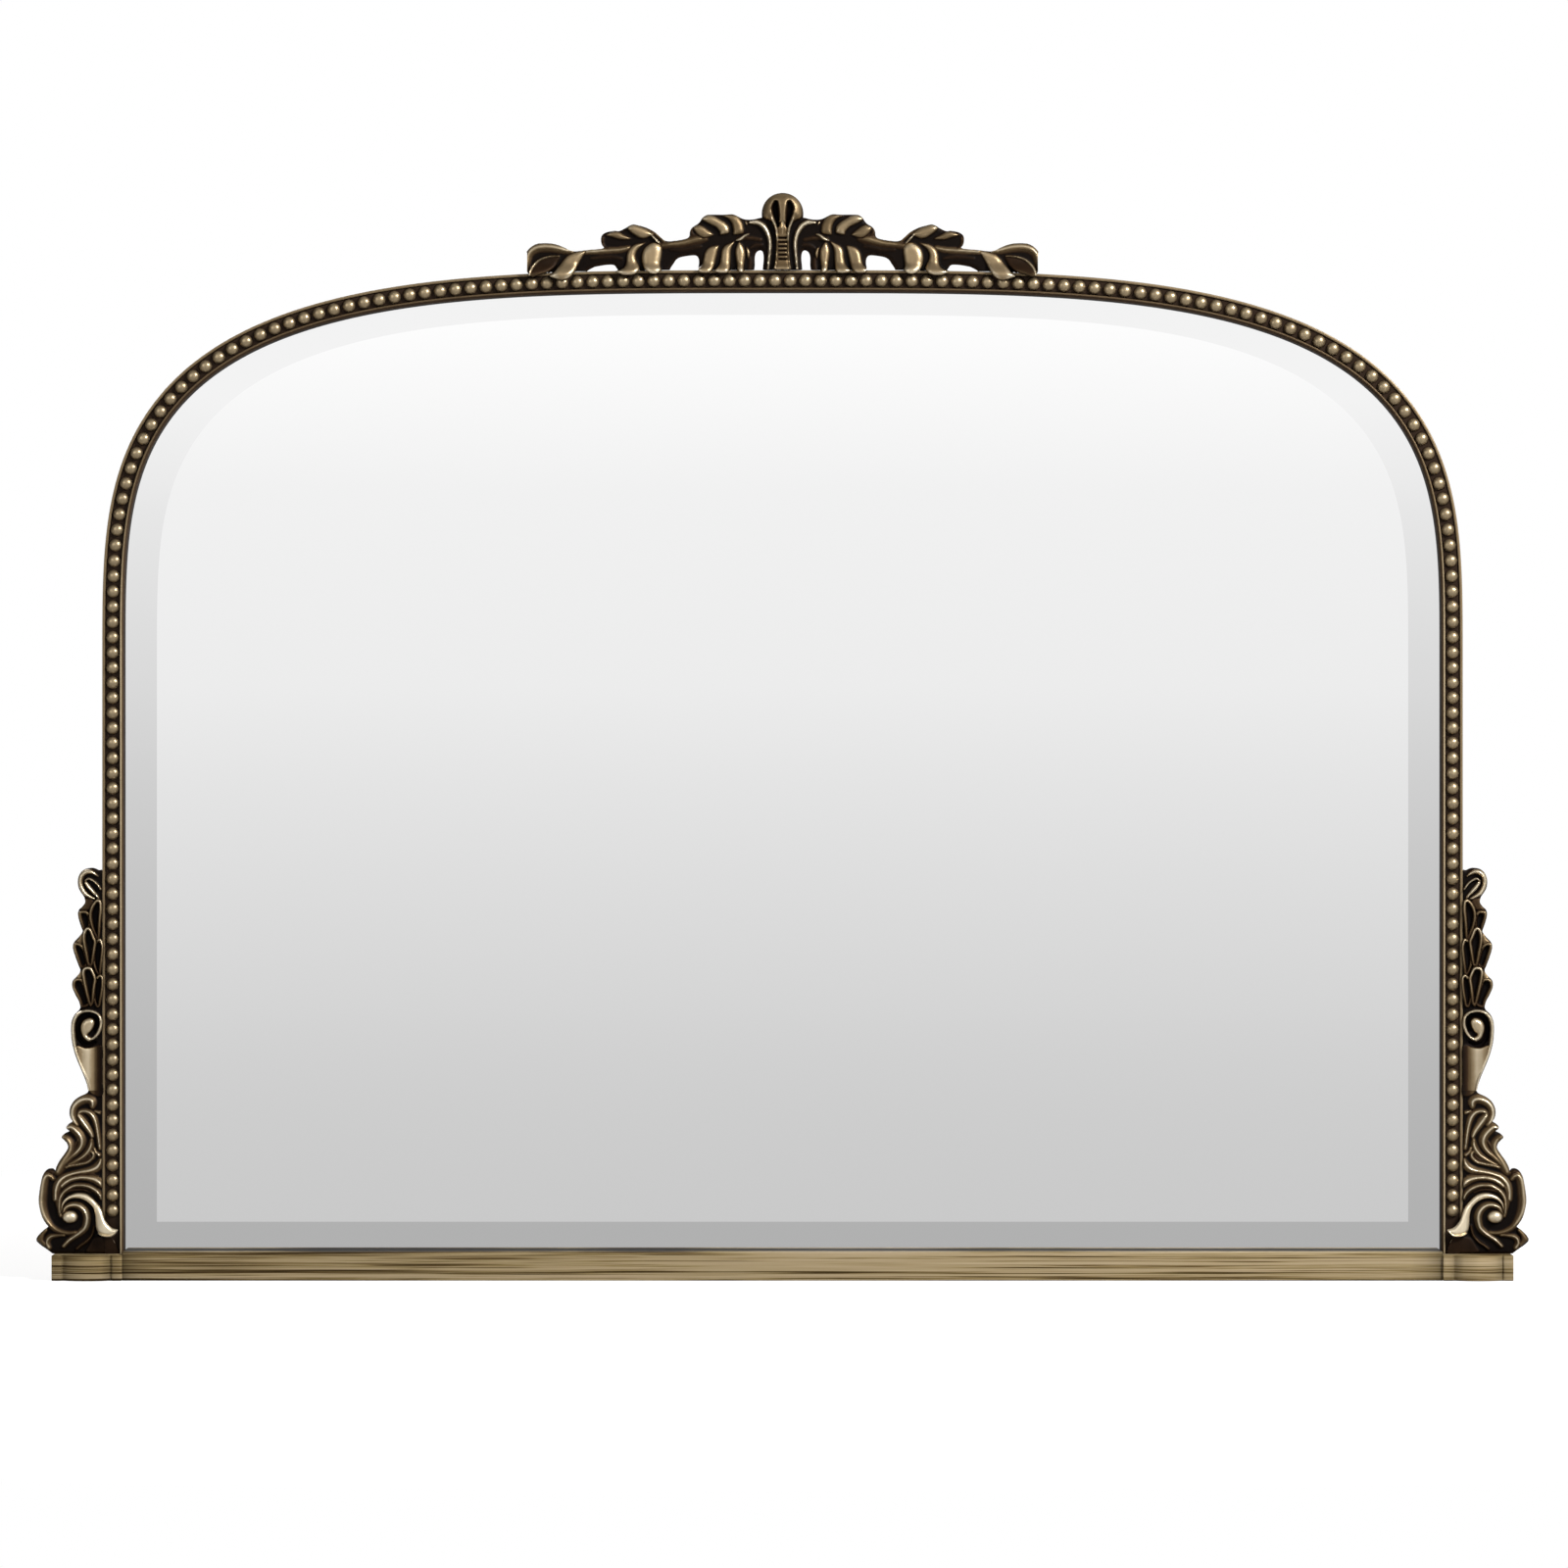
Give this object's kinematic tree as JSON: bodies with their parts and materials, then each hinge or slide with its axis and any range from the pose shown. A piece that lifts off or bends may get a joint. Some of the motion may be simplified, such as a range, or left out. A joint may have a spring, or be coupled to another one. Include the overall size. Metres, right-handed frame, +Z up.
{
  "type": "overmantel mirror",
  "caption": "Wide arched overmantel mirror: bevelled glass in a beaded gilt frame on a sill, with a pierced leaf crest and acanthus scrolls at the lower sides.",
  "frame": {"origin": "underside of the sill, under the middle of the frame, in the plane of the moulding's face", "axes": "+X to the viewer's right along the sill, +Y back towards the wall, +Z up; the glass faces -Y"},
  "size_m": [1.2012, 0.06, 0.8747],
  "materials": {
    "gilt_wood": "antique gilt over gesso",
    "gilt_bead": "moulded composition, antique gilt",
    "gilt_casting": "cast resin, antique gilt with dark wax in the hollows",
    "waxed_sill": "grained, gilt and waxed",
    "silvered_glass": "bevelled, polished",
    "felt": "grey felt",
    "fibreboard": "bare fibreboard",
    "beech": "bare",
    "zinc_steel": "zinc plated",
    "brass": "drawn wire",
    "rubber": "matt"
  },
  "bodies": {
    "mirror": {"frame_head": "gilt_wood", "frame_stile_left": "gilt_wood", "frame_stile_right": "gilt_wood", "head_dowel_left": "beech", "head_dowel_right": "beech", "stile_screw_left": "zinc_steel", "stile_screw_right": "zinc_steel", "bead_strip_head": "gilt_bead", "bead_strip_left": "gilt_bead", "bead_strip_right": "gilt_bead", "mirror_glass": "silvered_glass", "felt_sheet": "felt", "backing_board": "fibreboard", "board_screw_left_1": "zinc_steel", "board_screw_left_2": "zinc_steel", "board_screw_left_3": "zinc_steel", "board_screw_right_1": "zinc_steel", "board_screw_right_2": "zinc_steel", "board_screw_right_3": "zinc_steel", "board_screw_head_1": "zinc_steel", "board_screw_head_2": "zinc_steel", "board_screw_head_3": "zinc_steel", "wall_bumper_left": "rubber", "wall_bumper_right": "rubber", "sill_rail": "waxed_sill", "plinth_block_left": "waxed_sill", "plinth_block_right": "waxed_sill", "plinth_dowel_left": "beech", "plinth_dowel_right": "beech", "crest": "gilt_casting", "crest_pin_1": "brass", "crest_pin_2": "brass", "crest_pin_3": "brass", "crest_pin_4": "brass", "crest_pin_5": "brass", "husk_drop_left": "gilt_casting", "acanthus_scroll_left": "gilt_casting", "husk_pin_left_1": "brass", "husk_pin_left_2": "brass", "acanthus_pin_left_1": "brass", "acanthus_pin_left_2": "brass", "hanger_plate_left": "zinc_steel", "hanger_screw_left_1": "zinc_steel", "hanger_screw_left_2": "zinc_steel", "husk_drop_right": "gilt_casting", "acanthus_scroll_right": "gilt_casting", "husk_pin_right_1": "brass", "husk_pin_right_2": "brass", "acanthus_pin_right_1": "brass", "acanthus_pin_right_2": "brass", "hanger_plate_right": "zinc_steel", "hanger_screw_right_1": "zinc_steel", "hanger_screw_right_2": "zinc_steel"},
    "ring_left": {"hanger_ring_left": "zinc_steel"},
    "ring_right": {"hanger_ring_right": "zinc_steel"}
  },
  "joints": [
    {"name": "ring_left_hinge", "type": "hinge", "parent": "mirror", "child": "ring_left", "pos_m": [-0.42, 0.0273, 0.64], "axis": [1, 0, 0], "range_deg": [0, 180]},
    {"name": "ring_right_hinge", "type": "hinge", "parent": "mirror", "child": "ring_right", "pos_m": [0.42, 0.0273, 0.64], "axis": [1, 0, 0], "range_deg": [0, 180]}
  ]
}
